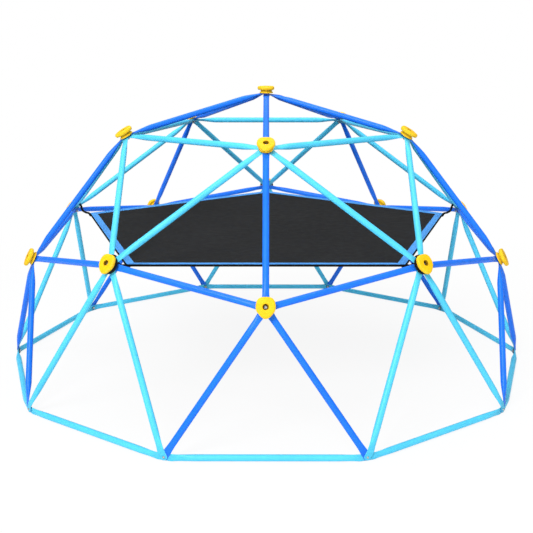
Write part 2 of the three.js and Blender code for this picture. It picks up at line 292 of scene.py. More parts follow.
def webbing(name, colour, deep, sheen, shine):
    """Flat woven tape: ribs along it, crossed by fine picks."""
    t = Tree(name)
    ribs = weave(t, 2.4 * MM, 1.5 * MM)
    tone = t.ramp(t.noise(11, 4, 0.6), (0.3, deep), (0.65, colour))
    tone = t.mix(0.4, tone, t.ramp(ribs, (0.05, [c * 0.6 for c in deep]), (0.7, colour)))
    fray = t.math("MULTIPLY", t.attribute("edge"), t.span(t.noise(500, 4), 0.45, 0.65))
    tone = t.mix(t.math("MULTIPLY", fray, 0.4), tone, [min(1, c * 1.3 + 0.03) for c in colour])
    soil = t.span(t.noise(21, 5, 0.7), 0.6, 0.8, 0.0, 0.25)
    tone = t.mix(soil, tone, [c * 0.5 for c in deep])
    normal = t.bump(ribs, 0.55, 0.4 * MM)
    rough = t.span(t.noise(70, 3), 0.3, 0.7, 0.62, 0.8)
    return t.finish(Base_Color=tone, Roughness=rough, Normal=normal, Sheen_Weight=sheen,
                    Sheen_Roughness=0.5, Specular_IOR_Level=shine)


def thread(name, colour):
    """Sewing thread, twisted."""
    t = Tree(name)
    twist = t.noise(1400, 2)
    tone = t.ramp(twist, (0.35, [c * 0.6 for c in colour]), (0.6, colour))
    return t.finish(Base_Color=tone, Roughness=0.7, Normal=t.bump(twist, 0.4, 0.15 * MM),
                    Sheen_Weight=0.1)


BLUE = powder_coat("blue_powder_coat", (0.012, 0.200, 0.96), (0.009, 0.162, 0.86))
AQUA = powder_coat("aqua_powder_coat", (0.100, 0.66, 0.95), (0.080, 0.58, 0.87))
YELLOW = moulded_plastic("yellow_moulded_plastic")
ZINC = zinc_plate("bright_zinc", 1)
# Darker copy of the zinc for the capped bolts: painted shade for heads deep in the caps' recesses.
SHADED_ZINC = zinc_plate("shaded_zinc", 0.6)
CLOTH = mat_cloth("black_mat_cloth")
BORDER = webbing("blue_border_webbing", (0.082, 0.41, 0.98), (0.064, 0.34, 0.88), 0.05, 0.3)
HEM = webbing("black_hem_cloth", (0.005, 0.005, 0.0052), (0.003, 0.003, 0.0032), 0.0, 0.08)
BLACK = webbing("black_strap_webbing", (0.008, 0.008, 0.0085), (0.004, 0.004, 0.0045), 0.01, 0.15)
THREAD = thread("blue_thread", (0.05, 0.25, 0.75))
DARK_THREAD = thread("black_thread", (0.022, 0.022, 0.023))


# ---------------------------------------------------------------- mesh code
def new_piece(name, points, faces, material, slot, body=FRAME, uv=None, sharp=38, **attributes):
    """A mesh piece in the row frame. uv is per point, in metres; attributes are per point."""
    mesh = bpy.data.meshes.new(name)
    mesh.from_pydata(np.asarray(points, float).tolist(), [], faces)
    mesh.validate()
    for key, values in attributes.items():
        layer = mesh.attributes.new(key, "FLOAT", "POINT")
        layer.data.foreach_set("value", np.asarray(values, np.float32))
    for key in ("grime", "edge"):
        if key not in attributes:
            mesh.attributes.new(key, "FLOAT", "POINT")
    layer = mesh.uv_layers.new(name="metres")
    if uv is not None:
        corner = np.zeros(len(mesh.loops), np.int32)
        mesh.loops.foreach_get("vertex_index", corner)
        layer.data.foreach_set("uv", np.asarray(uv, np.float32)[corner].ravel())
    mesh.shade_smooth()
    mesh.set_sharp_from_angle(angle=math.radians(sharp))
    mesh.materials.append(material)
    made = bpy.data.objects.new(name, mesh)
    bpy.context.scene.collection.objects.link(made)
    if body:
        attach(made, body)
    return made


def rings_mesh(rings, closed=False, capped=True):
    """Points and faces of a skin over rings with the same number of points each."""
    count, width = len(rings), len(rings[0])
    faces = []
    for i in range(count if closed else count - 1):
        a, b = i * width, (i + 1) % count * width
        for j in range(width):
            k = (j + 1) % width
            faces.append((a + j, a + k, b + k, b + j))
    if capped and not closed:
        last = (count - 1) * width
        faces.append(tuple(range(width - 1, -1, -1)))
        faces.append(tuple(last + j for j in range(width)))
    return np.concatenate(rings), faces


def frame_at(normal):
    """Across, normal and down-slope directions at a hub."""
    across = np.cross(UP, normal)
    if np.linalg.norm(across) < 1e-4:
        across = np.array([math.cos(TOP_CAP_TURN), math.sin(TOP_CAP_TURN), 0])
    across = unit(across)
    return across, normal, np.cross(across, normal)


class Hub:
    """Where a hub's bolt crosses the middle of its stack of tabs, and which way it points."""

    def __init__(self, node, outermost):
        co = np.array([v.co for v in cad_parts[node].data.vertices], float)
        co = np.unique(np.round(co, 5), axis=0)
        self.normal = unit(co.mean(0) - CENTRE)
        if abs(self.normal[2]) < 1e-3:
            self.normal = unit(self.normal * (1, 1, 0))
        self.half = outermost * TAB_PITCH + TAB_HALF_THICKNESS
        inner = ((co - CENTRE) @ self.normal).min()
        reach = inner + self.half + SEAT + NUT_HEIGHT + BOLT_END
        self.position = CENTRE + self.normal * reach
        self.node = node
        self.across, _, self.down = frame_at(self.normal)

    def place(self, x, out, z):
        """Points x across, out along the bolt from the stack's middle, and z down the slope."""
        x, out, z = np.broadcast_arrays(x, out, z)
        return (
            self.position
            + x[..., None] * self.across
            + out[..., None] * self.normal
            + z[..., None] * self.down
        )


top_hub = Hub("hub_cap_top", 2)
upper_hubs = [Hub(f"hub_cap_upper_{k + 1}", 1.5) for k in range(SECTORS)]
middle_hubs = [Hub(f"hub_cap_middle_{k + 1}", 1.5 if k % 2 else 1) for k in range(2 * SECTORS)]
base_hubs = [Hub(f"base_bolt_{k + 1}", 1) for k in range(2 * SECTORS)]


def stadium(flat, half, count=TUBE_POINTS):
    """A slot shape, points evenly spaced along its edge: flat is half the straight part's length."""
    total = 4 * flat + 2 * math.pi * half
    along = np.arange(count) / count * total
    quarter = math.pi * half / 2
    points = []
    for s in along:
        if s < quarter:
            a = s / half
            points.append((flat + half * math.cos(a), half * math.sin(a)))
        elif s < quarter + 2 * flat:
            points.append((flat - (s - quarter), half))
        elif s < 3 * quarter + 2 * flat:
            a = (s - 2 * flat) / half
            points.append((-flat + half * math.cos(a), half * math.sin(a)))
        elif s < 3 * quarter + 4 * flat:
            points.append((-flat + (s - 3 * quarter - 2 * flat), -half))
        else:
            a = (s - 4 * flat) / half
            points.append((flat + half * math.cos(a), half * math.sin(a)))
    return np.array(points)


def pressed(s):
    """A tube's section at a distance from the bolt: a flat slot, then a thickening oval."""
    narrowing = 1 - min(max((WIDTH_START - s) / (WIDTH_START - TAB_FLAT), 0), 1) ** 2
    swelling = 1 - min(max((TUBE_START - s) / (TUBE_START - TAB_FLAT), 0), 1) ** 1.35
    width = TAB_HALF + (TUBE_RADIUS - TAB_HALF) * narrowing
    half = TAB_HALF_THICKNESS + (TUBE_RADIUS - TAB_HALF_THICKNESS) * swelling
    slot = stadium(max(width - half, 1e-7), half)
    turn = np.arange(TUBE_POINTS) / TUBE_POINTS * 2 * math.pi
    oval = np.stack([np.cos(turn) * width, np.sin(turn) * half], 1)
    mix = smooth_step(swelling / 0.15)
    return slot * (1 - mix) + oval * mix


def tube(name, material, slot, node, start, start_level, end, end_level):
    """One tube, its ends pressed flat, bent and rounded off round their bolts."""
    chord = unit(end.position - start.position)
    side = unit(np.cross(start.normal, chord))
    ends = []
    for hub, level, inward in ((start, start_level, chord), (end, end_level, -chord)):
        bolt = hub.position + hub.normal * (level * TAB_PITCH)
        along = unit(inward - hub.normal * (inward @ hub.normal))
        ends.append((bolt, hub.normal, along, bolt + along * TAB_FLAT))
    axis = unit(ends[1][3] - ends[0][3])
    outward = np.cross(axis, side)
    length = np.linalg.norm(ends[1][3] - ends[0][3]) + 2 * TAB_FLAT

    def half_end(bolt, normal, along, swell, direction):
        """Rings from the tip to the full round tube, with their distance from the bolt."""
        made = []
        for angle in np.radians([84, 72, 60, 47, 34, 22, 11, 0]):
            reach = math.cos(angle) * TAB_HALF
            half = min(TAB_HALF_THICKNESS, reach)
            shape = stadium(max(reach - half, 1e-6), half)
            made.append((-math.sin(angle) * TAB_REACH, bolt, normal, shape))
        for s in (12 * MM, 20 * MM):
            made.append((s, bolt + along * s, normal, stadium(TAB_HALF - TAB_HALF_THICKNESS, TAB_HALF_THICKNESS)))
        made = [(s, bolt + along * s, n, shape) for s, _, n, shape in made]
        before, after = swell - along * TAB_BEND, swell + axis * direction * TAB_BEND
        for t in np.linspace(0, 1, 6):
            point = (1 - t) ** 2 * before + 2 * t * (1 - t) * swell + t**2 * after
            n = unit(normal * (1 - t) + outward * t)
            made.append((TAB_FLAT + (2 * t - 1) * TAB_BEND, point, n, None))
        for s in np.linspace(TAB_FLAT + 1.5 * TAB_BEND, TUBE_START, 18):
            made.append((s, swell + axis * direction * (s - TAB_FLAT), outward, None))
        rings = []
        for s, point, n, shape in made:
            if shape is None:
                shape = pressed(s)
            rings.append((s, point, n, shape))
        return rings

    first = half_end(*ends[0], 1)
    last = half_end(*ends[1], -1)
    rings = first + [(length - s, p, n, shape) for s, p, n, shape in reversed(last)]
    points, faces = rings_mesh([p + shape[:, :1] * side + shape[:, 1:] * n for _, p, n, shape in rings])
    around = np.arange(TUBE_POINTS) / TUBE_POINTS * 2 * math.pi * TUBE_RADIUS
    along = np.array([s for s, *_ in rings])
    uv = np.stack([np.tile(around, len(rings)), np.repeat(along, TUBE_POINTS)], 1)
    from_end = np.minimum(uv[:, 1], length - uv[:, 1])
    across = np.concatenate([np.abs(shape[:, 0]) for *_, shape in rings])
    tip = np.hypot(np.minimum(from_end, 0) * TAB_HALF / TAB_REACH, across)
    rim = np.clip((tip - 0.92 * TAB_HALF) / (0.08 * TAB_HALF), 0, 1) * (from_end < TAB_FLAT)
    # Darker towards the ends: full within 20 mm of the bolt, gone by 80 mm.
    grime = np.clip(1 - (from_end - 20 * MM) / (60 * MM), 0, 1)
    made = new_piece(name, points, faces, material, slot, uv=uv, sharp=50, edge=rim, grime=grime)
    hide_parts(node)
    return made


def turned(hub, profile, points=CAP_POINTS, warp=None):
    """Rings about a hub's bolt from (radius, distance along the bolt) pairs."""
    angle = np.arange(points) / points * 2 * math.pi
    rings = []
    for radius, out in profile:
        r = np.full(points, radius) if warp is None else warp(radius, out, angle)
        rings.append(hub.place(np.sin(angle) * r, np.full(points, out), np.cos(angle) * r))
    return rings


def smooth_profile(corners, steps=5):
    """A profile through corners (radius, height, fillet), each rounded by its fillet."""
    line = []
    for i, (r, h, fillet) in enumerate(corners):
        here = np.array([r, h], float)
        if fillet == 0 or i in (0, len(corners) - 1):
            line.append(here)
            continue
        before, after = (np.array(corners[j][:2], float) for j in (i - 1, i + 1))
        a = here + unit(before - here) * min(fillet, np.linalg.norm(before - here) / 2.05)
        b = here + unit(after - here) * min(fillet, np.linalg.norm(after - here) / 2.05)
        for t in np.linspace(0, 1, steps):
            line.append((1 - t) ** 2 * a + 2 * t * (1 - t) * here + t**2 * b)
    return line


CAP_CORNERS_MM = [
    (9, 0, 0), (34.5, 0, 0.8), (38, 2.0, 1.4), (38, 6.8, 2.0), (33.5, 8.8, 1.2), (31.8, 10.2, 1.0),
    (31.8, 16.6, 1.0), (36.5, 17.6, 1.0), (45.0, 19.6, 3.0), (48.3, 25.0, 4.5), (48.3, 34.8, 3.5),
    (43.6, 39.7, 4.5), (27.0, 40.3, 3.0), (16.4, 40.0, 0.9), (13.8, 38.0, 1.4), (13.2, 21.2, 0.8),
    (12.4, 20.0, 0.6), (4.6, 20.0, 0),
]


def cap(hub, name, node):
    """A moulded cap: foot with grip notches, groove, and a thick flange with one long corner."""
    foot = hub.half + SEAT

    def warp(radius, out, angle):
        height = out - foot
        wave = sum(share * np.cos(crests * angle) for crests, share in CAP_WAVES)
        flange = np.clip((radius - 30 * MM) / (14 * MM), 0, 1) * np.clip(
            (height - CAP_FLANGE_FROM) / (2 * MM), 0, 1
        )
        notch = np.cos(10 * angle)
        grip = 1.3 * MM * np.clip((notch - 0.4) / 0.35, 0, 1) * (radius > 35 * MM) * (height < CAP_FOOT_HEIGHT)
        rib = 0.35 * MM * np.cos(20 * angle) * (abs(height - CAP_NECK_MIDDLE) < 3 * MM) * (radius > 30 * MM)
        return radius * (1 + wave * flange) - grip + rib

    profile = [(r * MM, foot + h * MM) for r, h in smooth_profile(CAP_CORNERS_MM)]
    profile.append((4.6 * MM, foot + 2 * MM))
    rings = turned(hub, profile, warp=warp)
    points, faces = rings_mesh(rings, closed=True)
    heights = np.repeat([h - foot for _, h in profile], CAP_POINTS)
    radii = np.repeat([r for r, _ in profile], CAP_POINTS)
    edge = np.exp(-(((radii - 46.5 * MM) / (3 * MM)) ** 2)) + np.exp(-(((radii - 38 * MM) / MM) ** 2))
    # Painted shade in the neck groove and in the recess round the bolt head, carried as the darkening attribute.
    groove = np.clip(1.2 - np.abs(heights - CAP_NECK_MIDDLE) / (5 * MM), 0, 1) * 0.7
    recess = (radii < 15 * MM) * np.clip((CAP_TOP - heights) / (4 * MM), 0, 1)
    angle = np.tile(np.arange(CAP_POINTS) / CAP_POINTS * 2 * math.pi, len(rings))
    uv = np.stack([angle * 40 * MM, radii + heights], 1)
    made = new_piece(
        name, points, faces, YELLOW, "yellow_plastic", uv=uv, sharp=45, edge=edge,
        grime=np.clip(groove + recess, 0, 1),
    )
    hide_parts(node)


def hex_radius(angle, flats):
    turn = math.pi / 3
    return flats / np.cos((angle + turn / 2) % turn - turn / 2)


def hexagon(hub, low, high, flats, hole):
    """A hexagon block about the bolt with chamfered corners and, if hole is over zero, a hole."""
    angle = np.arange(48) / 48 * 2 * math.pi
    sharp = hex_radius(angle, flats)
    round_top = np.minimum(sharp, flats * 1.03)
    chamfer = min(0.9 * MM, (high - low) / 4)
    levels = [(round_top, low), (sharp, low + chamfer), (sharp, high - chamfer), (round_top, high)]
    if hole:
        levels += [(np.full(48, hole + 0.5 * MM), high), (np.full(48, hole), high - 0.5 * MM)]
        levels += [(np.full(48, hole), low + 0.5 * MM), (np.full(48, hole + 0.5 * MM), low)]
    rings = [hub.place(np.sin(angle) * r, np.full(48, h), np.cos(angle) * r) for r, h in levels]
    return rings_mesh(rings, closed=bool(hole))


def fastener(hub, index, capped):
    """Bolt, nut and washer at one hub. The nut and the bolt's end are inside the dome."""
    inner = -hub.half - 0.05 * MM
    washer = [(4.3 * MM, inner), (WASHER_RADIUS, inner), (WASHER_RADIUS, inner - WASHER_THICKNESS),
              (4.3 * MM, inner - WASHER_THICKNESS)]
    points, faces = rings_mesh(turned(hub, washer[::-1], 40), closed=True)
    new_piece(f"washer_{index}", points, faces, ZINC, "zinc_steel", sharp=30)
    nut_top = inner - WASHER_THICKNESS
    nut_low = nut_top - NUT_HEIGHT
    points, faces = hexagon(hub, nut_low, nut_top, NUT_FLATS, BOLT_RADIUS)
    new_piece(f"nut_{index}", points, faces, ZINC, "zinc_steel", sharp=25)

    angle = np.arange(28) / 28 * 2 * math.pi
    end = nut_low - 2.6 * MM
    rings = []
    for out in np.arange(end, nut_low + 1 * MM, THREAD_PITCH / 6):
        phase = (out / THREAD_PITCH + angle / (2 * math.pi)) % 1
        crest = 1 - np.abs(2 * phase - 1)
        fade = min(1, max(0, (out - end) / (0.8 * MM)))
        r = BOLT_RADIUS - 0.05 * MM - THREAD_DEPTH * (1 - crest * fade)
        rings.append(hub.place(np.sin(angle) * r, np.full(28, out), np.cos(angle) * r))
    shank = BOLT_RADIUS - 0.05 * MM
    top = hub.half + (SEAT + RECESS_FLOOR if capped else 0)
    for r, out in ((shank, nut_low + 1.6 * MM), (shank, top)):
        rings.append(hub.place(np.sin(angle) * r, np.full(28, out), np.cos(angle) * r))
    if capped:
        points, faces = rings_mesh(rings)
        head_low = top + 1.6 * MM
        hex_points, hex_faces = hexagon(hub, head_low, head_low + BOLT_HEAD_HEIGHT, NUT_FLATS, 0)
        collar = [(3.0 * MM, top), (8.6 * MM, top), (8.6 * MM, top + 0.7 * MM), (7.0 * MM, top + 1.65 * MM),
                  (3.0 * MM, top + 1.65 * MM)]
        collar_points, collar_faces = rings_mesh(turned(hub, collar, 40))
        all_points = np.concatenate([points, hex_points, collar_points])
        first, second = len(points), len(points) + len(hex_points)
        faces = faces + [tuple(i + first for i in f) for f in hex_faces]
        faces += [tuple(i + second for i in f) for f in collar_faces]
        # Painted shade: the capped bolt takes the darker zinc, its head sitting deep in the cap's recess.
        made = new_piece(f"bolt_{index}", all_points, faces, SHADED_ZINC, "zinc_steel", sharp=25)
    else:
        head = [(math.cos(a) * 6.2 * MM, top + 0.3 * MM + math.sin(a) * 4.0 * MM)
                for a in np.radians([0, 12, 25, 38, 50, 62, 74, 84])]
        cup = turned(hub, [(5.7 * MM, top)] + head, 28)
        points, faces = rings_mesh(rings + cup)
        made = new_piece(f"bolt_{index}", points, faces, ZINC, "zinc_steel", sharp=35)
    if not capped:
        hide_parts(hub.node)


# ---------------------------------------------------------------- the frame
TOP_STACK = [-2, -1, 0, 1, 2]
for k in range(SECTORS):
    this, left, right = upper_hubs[k], middle_hubs[2 * k - 1], middle_hubs[2 * k + 1]
    five, six = middle_hubs[2 * k], middle_hubs[2 * k + 1]
    before, after, third = base_hubs[2 * k - 1], base_hubs[2 * k], base_hubs[(2 * k + 1) % 10]
    n = k + 1
    blue, aqua = (BLUE, "blue_steel"), (AQUA, "aqua_steel")
    tube(f"crown_tube_{n}", *blue, f"crown_bar_{n}", top_hub, TOP_STACK[k], this, 0.5)
    tube(f"upper_ring_tube_{n}", *aqua, "upper_ring", this, -1.5, upper_hubs[(k + 1) % SECTORS], -1.5)
    tube(f"drop_tube_{n}", *blue, f"drop_bar_{n}", this, 1.5, five, 1)
    tube(f"vee_tube_{n}_left", *aqua, f"upper_vee_{n}", this, -0.5, left, 1.5)
    tube(f"vee_tube_{n}_right", *aqua, f"upper_vee_{n}", this, -0.5, right, 0.5)
    tube(f"short_leg_{n}_left", *blue, f"short_legs_{n}", five, 0, before, 0)
    tube(f"short_leg_{n}_right", *blue, f"short_legs_{n}", five, 0, after, 0)
    tube(f"long_leg_{n}_left", *aqua, f"long_legs_{n}", six, -0.5, after, 1)
    tube(f"long_leg_{n}_right", *aqua, f"long_legs_{n}", six, -0.5, third, 1)
for k in range(2 * SECTORS):
    here, there = middle_hubs[k], middle_hubs[(k + 1) % 10]
    low, high = (-1.5, -1) if k % 2 else (-1, -1.5)
    tube(f"middle_ring_tube_{k + 1}", BLUE, "blue_steel", "middle_ring", here, low, there, high)
    tube(f"base_tube_{k + 1}", AQUA, "aqua_steel", "base_ring", base_hubs[k], -1, base_hubs[(k + 1) % 10], -1)

cap(top_hub, "cap_top", "hub_cap_top")
fastener(top_hub, "top", True)
for k, hub in enumerate(upper_hubs):
    cap(hub, f"cap_upper_{k + 1}", hub.node)
    fastener(hub, f"upper_{k + 1}", True)
for k, hub in enumerate(middle_hubs):
    cap(hub, f"cap_middle_{k + 1}", hub.node)
    fastener(hub, f"middle_{k + 1}", True)
for k, hub in enumerate(base_hubs):
    fastener(hub, f"base_{k + 1}", False)


# ---------------------------------------------------------------- mat
mat_low, mat_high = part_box("mat")
MAT_Z = (mat_low.z + mat_high.z) / 2
MAT_HALF = (mat_high.z - mat_low.z) / 2
MAT_RADIUS = max(np.hypot(v.co.x, v.co.y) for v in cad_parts["mat"].data.vertices)
APOTHEM = MAT_RADIUS * math.cos(math.pi / SECTORS)
MITRE = math.tan(math.pi / SECTORS)
SHEET_TOP = 0.6 * MM  # over the mat's middle
SHEET_THICKNESS = 1.2 * MM
SHEET_DEPTH = 5 * MM  # from the mat's outer edge to the sheet's, inside the rolled hem
ROLL_WIDTH = 10 * MM
ROLL_DROP = 3 * MM  # of the rolled edge, below the mat's own thickness
ROLL_OUT = 3 * MM  # of the rolled edge, past the mat's outline
BORDER_WIDTH = 41 * MM
BORDER_INSET = 3.2 * MM
WEB_THICKNESS = 1.2 * MM
SAG = 7 * MM
SETTLE_FRAMES = 30
CORNERS = [
    np.array([math.sin(a), -math.cos(a), 0]) * MAT_RADIUS
    for a in np.radians([36 + 72 * k for k in range(SECTORS)])
]


def edge_frame(k):
    """A corner, the direction to the next corner, the inward direction and the edge's length."""
    a, b = CORNERS[k], CORNERS[(k + 1) % SECTORS]
    along = unit(b - a)
    inward = -unit((a + b) / 2)
    return a, along, inward, np.linalg.norm(b - a)


def depth_from_edge(points):
    depth = np.full(len(points), np.inf)
    for k in range(SECTORS):
        a, _, inward, _ = edge_frame(k)
        depth = np.minimum(depth, (points - a) @ inward)
    return depth


def settle(points, faces, held):
    """Lets cloth hang under its own weight, held where held is true. No point moves more than SAG."""
    mesh = bpy.data.meshes.new("settling")
    mesh.from_pydata(points.tolist(), [], faces)
    cloth = bpy.data.objects.new("settling", mesh)
    bpy.context.scene.collection.objects.link(cloth)
    cloth.vertex_groups.new(name="held").add(np.flatnonzero(held).tolist(), 1.0, "REPLACE")
    modifier = cloth.modifiers.new("cloth", "CLOTH")
    modifier.collision_settings.use_collision = False
    modifier.point_cache.frame_end = SETTLE_FRAMES
    settings = modifier.settings
    settings.quality = 8
    settings.mass = 0.002
    settings.tension_stiffness = settings.compression_stiffness = 30
    settings.shear_stiffness = 12
    settings.bending_stiffness = 0.6
    settings.shrink_min = -0.002
    settings.vertex_group_mass = "held"
    for step in range(1, SETTLE_FRAMES + 1):
        bpy.context.scene.frame_set(step)
    settled = cloth.evaluated_get(bpy.context.evaluated_depsgraph_get())
    places = np.empty(3 * len(points))
    settled.data.vertices.foreach_get("co", places)
    moved = places.reshape(-1, 3) - points
    bpy.data.objects.remove(cloth)
    bpy.context.scene.frame_set(1)
    furthest = np.linalg.norm(moved, axis=1).max()
    return points + moved * min(1, SAG / furthest)


def sheet():
    """The cloth, held at its border: it sags a little, with light folds running in from the corners."""
    sides, rings_count = 44, 44
    points = [np.zeros(3)]
    for i in range(1, rings_count + 1):
        for k in range(SECTORS):
            a, along, _, length = edge_frame(k)
            points += [(a + along * length * j / sides) * i / rings_count for j in range(sides)]
    points = np.array(points) * (1 - SHEET_DEPTH / APOTHEM)
    width = SECTORS * sides
    faces = [(0, 1 + j, 1 + (j + 1) % width) for j in range(width)]
    for i in range(rings_count - 1):
        a, b = 1 + i * width, 1 + (i + 1) * width
        faces += [(a + j, b + j, b + (j + 1) % width, a + (j + 1) % width) for j in range(width)]
    inside = depth_from_edge(points) - BORDER_WIDTH - BORDER_INSET
    uv = points[:, :2].copy()
    for k, corner in enumerate(CORNERS):
        offset = points - corner
        distance = np.linalg.norm(offset, axis=1)
        turn = np.arctan2(offset @ np.cross(UP, -unit(corner)), offset @ -unit(corner))
        fold = np.sin(turn * (11 + 2 * (k % 3)) + 0.7 * k) * np.exp(-distance / 0.33)
        points[:, 2] += 1.5 * MM * fold * smooth_step(inside / 0.08)
    ripple = np.sin(points[:, 0] * 5.1 + 1.3) * np.sin(points[:, 1] * 4.3 + 0.4)
    points[:, 2] += 0.6 * MM * ripple * smooth_step(inside / 0.3)
    points = settle(points, faces, inside < 0)
    top = points + UP * (MAT_Z + SHEET_TOP)
    under = top - UP * SHEET_THICKNESS
    count = len(top)
    rim = 1 + (rings_count - 1) * width
    faces += [tuple(count + i for i in reversed(f)) for f in faces]
    for j in range(rim, rim + width):
        k = rim + (j + 1 - rim) % width
        faces.append((j, j + count, k + count, k))
    made = new_piece(
        "mat_sheet", np.concatenate([top, under]), faces, CLOTH, "mat_fabric", MAT,
        uv=np.concatenate([uv, uv]), sharp=60,
    )
    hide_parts("mat")


def rounded_slab(width, thickness, steps=4):
    """Cross-section of a tape: across, up."""
    r = thickness / 2
    points = []
    for centre, start in ((width / 2 - r, -90), (-(width / 2 - r), 90)):
        for a in np.radians(np.linspace(start, start + 180, 2 * steps + 1)):
            points.append((centre + math.cos(a) * r, math.sin(a) * r))
    for x in np.linspace(-(width / 2 - r), width / 2 - r, 10)[1:-1]:
        points.append((x, -r))
    top = [(x, r) for x in np.linspace(width / 2 - r, -(width / 2 - r), 10)[1:-1]]
    half = 2 * steps + 1
    return np.array(points[:half] + top + points[half:2 * half] + points[2 * half:])


def border_base(depth):
    """How high the border's underside lies, by distance from the mat's edge: over the roll, then down."""
    down = smooth_step((depth - ROLL_WIDTH) / (14 * MM))
    on_roll = MAT_HALF - WEB_THICKNESS
    return MAT_Z + on_roll + (SHEET_TOP + 0.15 * MM - on_roll) * down


def border(k):
    """One strip of webbing along an edge of the mat, mitred to the next at both ends."""
    a, along, inward, length = edge_frame(k)
    section = rounded_slab(BORDER_WIDTH, WEB_THICKNESS)
    rings, uvs, edges = [], [], []
    for t in np.linspace(0, 1, 90):
        ring = []
        for x, y in section:
            depth = BORDER_INSET + BORDER_WIDTH / 2 - x
            cut = depth * MITRE + 0.15 * MM
            s = cut + (length - 2 * cut) * t
            wave = 0.15 * MM * (1 + math.sin(s * 38 + k)) + 0.1 * MM * (1 + math.sin(s * 91 + 2 * k))
            height = border_base(depth) + WEB_THICKNESS / 2 + y + wave * smooth_step(depth / ROLL_WIDTH - 1)
            ring.append(a + along * s + inward * depth + UP * height)
            uvs.append((depth, s))
            edges.append(max(0.0, abs(x) / (BORDER_WIDTH / 2) * 12 - 11))
        rings.append(np.array(ring))
    points, faces = rings_mesh(rings)
    new_piece(f"mat_border_{k + 1}", points, faces, BORDER, "blue_steel", MAT, uv=uvs, edge=edges, sharp=70)


def outline(inset, radius, pieces=48):
    """The mat's outline drawn in by inset, its corners rounded, always with the same number of points."""
    path = []
    scale = (APOTHEM - inset) / APOTHEM
    cut = radius * MITRE
    for k in range(SECTORS):
        before, here, after = (CORNERS[(k + i) % SECTORS] * scale for i in (-1, 0, 1))
        back, on = here + unit(before - here) * cut, here + unit(after - here) * cut
        path += [(1 - t) ** 2 * back + 2 * t * (1 - t) * here + t**2 * on for t in np.linspace(0, 1, 7)]
        end = after - unit(after - here) * cut
        path += [on + (end - on) * i / pieces for i in range(1, pieces)]
    return np.array(path)


def hem():
    """The cloth's edge, rolled over a cord and turned under as a flat band."""
    roll = MAT_HALF - WEB_THICKNESS / 2
    middle = -WEB_THICKNESS / 2
    section = []
    for a in np.radians(np.linspace(90, 270, 17)):
        flat = abs(math.sin(a)) ** 0.7 * math.copysign(1, math.sin(a))
        reach = roll if flat > 0 else roll + ROLL_DROP
        section.append((ROLL_WIDTH / 2 + (ROLL_WIDTH / 2 + ROLL_OUT) * math.cos(a), middle + reach * flat))
    section += [(ROLL_WIDTH * 0.8, middle - (roll + ROLL_DROP) * 0.85), (ROLL_WIDTH * 1.1, -3.6 * MM)]
    section += [(ROLL_WIDTH * 1.6, -1.95 * MM)]
    section += [(46 * MM, -1.9 * MM), (46.6 * MM, -1.3 * MM), (46 * MM, -0.75 * MM)]
    section += [(ROLL_WIDTH * 1.2, -0.75 * MM), (ROLL_WIDTH, 0.6 * MM), (ROLL_WIDTH * 0.8, middle + roll * 0.7)]
    rings, uvs = [], []
    run = 0.0
    for i, (depth, height) in enumerate(section):
        path = outline(depth, max(12 * MM - depth, 1 * MM))
        steps = np.linalg.norm(np.diff(path, axis=0, prepend=path[:1]), axis=1)
        run += math.dist(section[i - 1], section[i]) if i else 0
        uvs += [(run, along) for along in np.cumsum(steps)]
        rings.append(path + UP * (MAT_Z + height))
    points, faces = rings_mesh(rings[::-1], closed=True)
    uvs = np.array(uvs).reshape(len(rings), -1, 2)[::-1].reshape(-1, 2)
    new_piece("mat_hem", points, faces, HEM, "black_webbing", MAT, uv=uvs, sharp=70)


def stitches(name, rows, material):
    """Rows of short stitches. Each row is (start, end)."""
    points, faces = [], []
    for start, end in rows:
        length = np.linalg.norm(end - start)
        along = unit(end - start)
        side = np.cross(UP, along)
        count = int(length / (5.2 * MM))
        for i in range(count):
            centre = start + along * ((i + 0.5) * length / count)
            base = len(points)
            for s, lift, size in ((-1.75, -0.25, 0.18), (-1.0, 0.2, 0.36), (1.0, 0.2, 0.36), (1.75, -0.25, 0.18)):
                for a in np.radians([0, 60, 120, 180, 240, 300]):
                    points.append(
                        centre + along * s * MM + side * math.cos(a) * size * MM
                        + UP * (lift + math.sin(a) * size) * MM
                    )
            for ring in range(3):
                for j in range(6):
                    k = (j + 1) % 6
                    faces.append((base + ring * 6 + j, base + ring * 6 + k, base + ring * 6 + 6 + k, base + ring * 6 + 6 + j))
            faces.append(tuple(base + j for j in range(5, -1, -1)))
            faces.append(tuple(base + 18 + j for j in range(6)))
    return new_piece(name, points, faces, material, "black_webbing", MAT, sharp=60)


def border_rows(k, depths, height):
    """Where rows of stitches run along an edge. height gives their level at each depth."""
    a, along, inward, length = edge_frame(k)
    rows = []
    for depth in depths:
        cut = depth * MITRE + 2 * MM
        lift = inward * depth + UP * height(depth)
        rows.append((a + along * cut + lift, a + along * (length - cut) + lift))
    return rows


sheet()
hem()
for k in range(SECTORS):
    border(k)
    rows = border_rows(k, (12 * MM, 15 * MM, 36 * MM, 39 * MM), lambda d: border_base(d) + WEB_THICKNESS)
    stitches(f"mat_border_stitches_{k + 1}", rows, THREAD)
    rows = border_rows(k, (36 * MM, 39 * MM), lambda d: MAT_Z - 1.9 * MM)
    stitches(f"mat_hem_stitches_{k + 1}", rows, DARK_THREAD)


# ---------------------------------------------------------------- straps
STRAP_WIDTH = 11 * MM
PLY_THICKNESS = 2.8 * MM  # drawn tight round the groove
TAIL_PLY = 3.4 * MM  # slack in the tail
LOOP_WIDTH = 7.6 * MM
LOOP_LAPS = [0, 0, 3.4 * MM, 5.4 * MM, 4.6 * MM]  # each ply's reach past the groove, over the foot's edge
STRAP_PATH_MM = [(36, 0), (43, 0), (48.5, -2.5), (51, -12), (50, -28), (42, -42), (31, -53), (26, -68),
                 (29, -88), (36.5, -107)]


